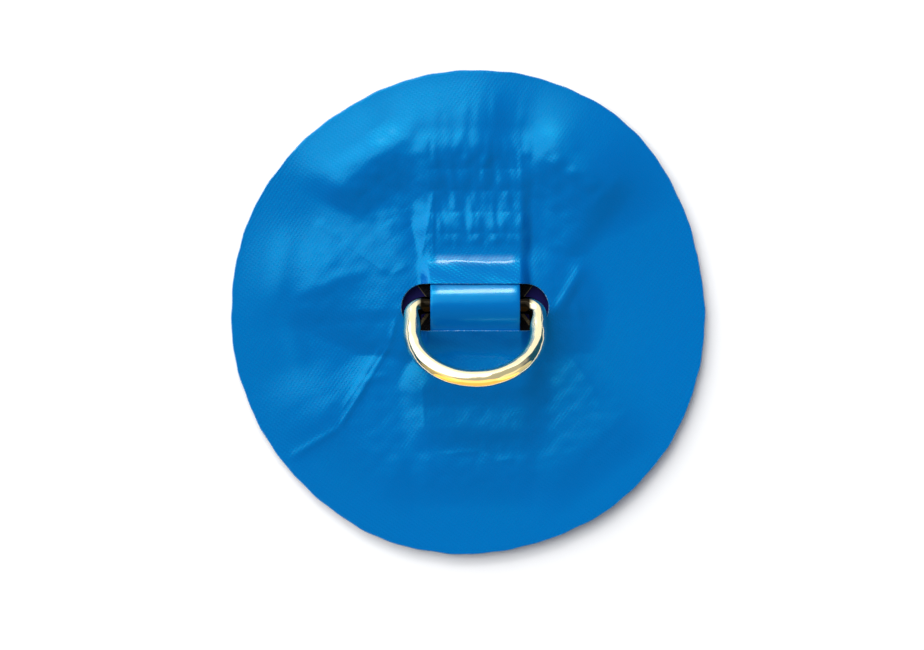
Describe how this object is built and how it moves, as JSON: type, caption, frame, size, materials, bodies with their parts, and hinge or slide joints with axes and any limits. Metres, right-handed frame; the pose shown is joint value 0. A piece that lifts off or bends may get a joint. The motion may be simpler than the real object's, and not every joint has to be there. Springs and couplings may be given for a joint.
{
  "type": "pad eye",
  "caption": "Round glue-on fabric pad eye for an inflatable boat: a metal D-ring held by a star of webbing between two coated sheets, the ring hinging on its bar.",
  "frame": {"origin": "centre of the patch's flat underside, which is also the centre of the cover's slot", "axes": "+Z away from the surface the patch is glued to; the ring's bar runs along X; the main strap runs along Y; the ring leans towards -Y at rest"},
  "size_m": [0.22, 0.22, 0.0417],
  "materials": {
    "base_sheet": "satin",
    "cover_sheet": "gloss",
    "coated_strap": "gloss",
    "webbing": "matte",
    "ring_steel": "polished",
    "thread": "matte"
  },
  "bodies": {
    "patch": {"base_patch": "base_sheet", "cover_patch": "cover_sheet", "main_strap": "coated_strap", "diagonal_strap_a": "webbing", "diagonal_strap_b": "webbing", "stitching_main_upper": "thread", "stitching_main_lower": "thread", "stitching_diagonal_a_upper": "thread", "stitching_diagonal_a_lower": "thread", "stitching_diagonal_b_upper": "thread", "stitching_diagonal_b_lower": "thread"},
    "ring": {"d_ring": "ring_steel"}
  },
  "joints": [
    {"name": "ring_hinge", "type": "hinge", "parent": "patch", "child": "ring", "pos_m": [0, 0.001, 0.0076], "axis": [-1, 0, 0], "range_deg": [-23, 113]}
  ]
}
